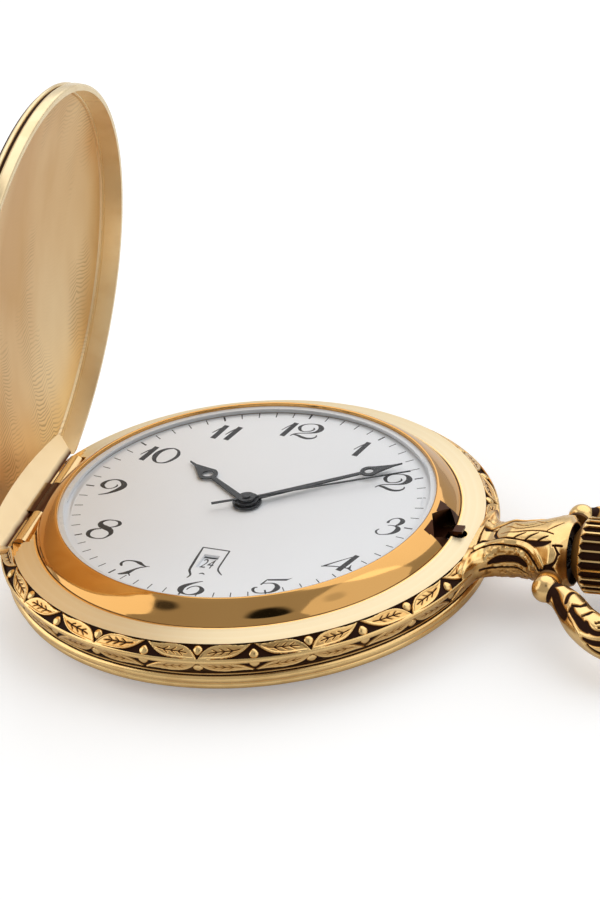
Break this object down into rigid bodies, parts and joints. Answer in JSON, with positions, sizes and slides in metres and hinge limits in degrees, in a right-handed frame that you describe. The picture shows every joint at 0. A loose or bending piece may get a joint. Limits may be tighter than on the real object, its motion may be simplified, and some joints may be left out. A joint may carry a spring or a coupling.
{
  "type": "pocket watch",
  "caption": "Quartz pocket watch in a hunter case: round body with a leaf garland, hinged lid standing open, pendant with swinging bow and push crown, dial with date opening.",
  "frame": {"origin": "centre of the flat back, on the surface the watch lies on", "axes": "+X from the centre to the crown, +Y towards the top of the dial, +Z out of the dial; the lid's hinge axis is parallel to Y on the -X side"},
  "size_m": [0.0736, 0.0478, 0.0488],
  "materials": {
    "gold": "polished gold colour plating over brass, tarnished brown in the recesses",
    "steel": "fine ground",
    "glass": "polished mineral glass",
    "white_nylon": "smooth",
    "seal_rubber": "soft black seal",
    "dial_white": "white lacquer, printed",
    "hand_grey": "dark grey lacquer",
    "movement_plastic": "moulded",
    "wheel_brass": "plain",
    "nickel": "nickel plated, brushed",
    "copper_wire": "enamelled copper wire",
    "board_green": "circuit board",
    "chip_black": "potted",
    "amber_film": "insulating film"
  },
  "bodies": {
    "case": {"case_band": "gold", "front_bezel": "gold", "crystal": "glass", "crystal_gasket": "white_nylon", "back_cover": "gold", "back_gasket": "seal_rubber", "case_hinge": "gold", "hinge_pin": "steel", "lift_spring": "steel", "pendant": "gold", "pendant_tube": "steel", "stem_gasket": "seal_rubber", "catch_spring": "steel", "movement_ring": "movement_plastic", "main_plate": "nickel", "dial": "dial_white", "date_keeper": "steel", "date_jumper": "steel", "stator": "steel", "coil_core": "steel", "coil_winding": "copper_wire", "train_bridge": "nickel", "circuit_board": "board_green", "circuit_chip": "chip_black", "quartz_resonator": "steel", "battery": "nickel", "battery_insulator": "amber_film", "battery_strap": "wheel_brass", "movement_clamps": "steel", "movement_screws": "steel"},
    "lid": {"lid_rim": "gold", "lid_dome": "gold", "lid_hinge_leaf": "gold"},
    "bow": {"bow": "gold"},
    "winding_pinion": {"sliding_pinion": "wheel_brass"},
    "stem": {"stem": "steel", "crown_spring": "steel"},
    "crown": {"crown": "gold", "crown_sleeve": "steel"},
    "catch": {"lid_catch": "gold"},
    "setting_lever": {"setting_lever": "steel"},
    "seconds": {"seconds_wheel": "wheel_brass", "seconds_hand": "hand_grey"},
    "rotor": {"rotor": "steel"},
    "intermediate": {"intermediate_wheel": "wheel_brass"},
    "third": {"third_wheel": "wheel_brass"},
    "minutes": {"centre_wheel": "wheel_brass", "minute_hand": "hand_grey"},
    "minute_wheel": {"minute_wheel": "wheel_brass"},
    "hours": {"hour_wheel": "wheel_brass", "hour_hand": "hand_grey"},
    "date_driver": {"date_driving_wheel": "wheel_brass"},
    "date_ring": {"date_ring": "dial_white"}
  },
  "joints": [
    {"name": "lid_hinge", "type": "hinge", "parent": "case", "child": "lid", "pos_m": [-0.0204, 0, 0.00585], "axis": [0, 1, 0], "range_deg": [0, 82.6], "stiffness_Nm_per_rad": 0.0025, "springref_deg": -17.19},
    {"name": "bow_swing", "type": "hinge", "parent": "case", "child": "bow", "pos_m": [0.03105, 0, 0.0054], "axis": [0, 1, 0], "range_deg": [-158, 134]},
    {"name": "crown_turn", "type": "hinge", "parent": "case", "child": "winding_pinion", "pos_m": [0.0079, 0, 0.0054], "axis": [1, 0, 0], "continuous": true},
    {"name": "stem_pull", "type": "slide", "parent": "winding_pinion", "child": "stem", "axis": [1, 0, 0], "range_m": [0, 0.001]},
    {"name": "crown_push", "type": "slide", "parent": "stem", "child": "crown", "axis": [-1, 0, 0], "range_m": [0, 0.0007], "stiffness_N_per_m": 1000, "springref_m": -0.001},
    {"name": "catch_slide", "type": "slide", "parent": "case", "child": "catch", "axis": [-1, 0, 0], "range_m": [0, 0.0007]},
    {"name": "setting_lever_swing", "type": "hinge", "parent": "case", "child": "setting_lever", "pos_m": [0.01085, 0.0025, 0.00435], "axis": [0, 0, 1], "range_deg": [0, 29]},
    {"name": "seconds_turn", "type": "hinge", "parent": "case", "child": "seconds", "pos_m": [0, 0, 0.008], "axis": [0, 0, -1], "continuous": true},
    {"name": "rotor_turn", "type": "hinge", "parent": "case", "child": "rotor", "pos_m": [0.0015, 0.0059, 0.004], "axis": [0, 0, -1], "continuous": true},
    {"name": "intermediate_turn", "type": "hinge", "parent": "case", "child": "intermediate", "pos_m": [0.00175, 0.00303, 0.004], "axis": [0, 0, -1], "continuous": true},
    {"name": "third_turn", "type": "hinge", "parent": "case", "child": "third", "pos_m": [-0.00319, -0.00116, 0.004], "axis": [0, 0, -1], "continuous": true},
    {"name": "minutes_turn", "type": "hinge", "parent": "case", "child": "minutes", "pos_m": [0, 0, 0.007], "axis": [0, 0, -1], "continuous": true},
    {"name": "minute_wheel_turn", "type": "hinge", "parent": "case", "child": "minute_wheel", "pos_m": [0.0012, -0.00208, 0.006], "axis": [0, 0, -1], "continuous": true},
    {"name": "hours_turn", "type": "hinge", "parent": "case", "child": "hours", "pos_m": [0, 0, 0.007], "axis": [0, 0, -1], "continuous": true},
    {"name": "date_driver_turn", "type": "hinge", "parent": "case", "child": "date_driver", "pos_m": [-0.0037, 0.00441, 0.006], "axis": [0, 0, -1], "continuous": true},
    {"name": "date_ring_turn", "type": "hinge", "parent": "case", "child": "date_ring", "pos_m": [0, 0, 0.0067], "axis": [0, 0, -1], "continuous": true}
  ],
  "couplings": [
    {"joint": "catch_slide", "follows": "crown_push", "ratio": 1},
    {"joint": "setting_lever_swing", "follows": "stem_pull", "rad_per_m": 505.36},
    {"joint": "rotor_turn", "follows": "seconds_turn", "ratio": 30},
    {"joint": "intermediate_turn", "follows": "seconds_turn", "ratio": -6},
    {"joint": "third_turn", "follows": "seconds_turn", "ratio": -0.13333},
    {"joint": "minutes_turn", "follows": "seconds_turn", "ratio": 0.016667},
    {"joint": "minute_wheel_turn", "follows": "seconds_turn", "ratio": -0.0055556},
    {"joint": "hours_turn", "follows": "seconds_turn", "ratio": 0.0013889},
    {"joint": "date_driver_turn", "follows": "seconds_turn", "ratio": -0.00069444}
  ]
}
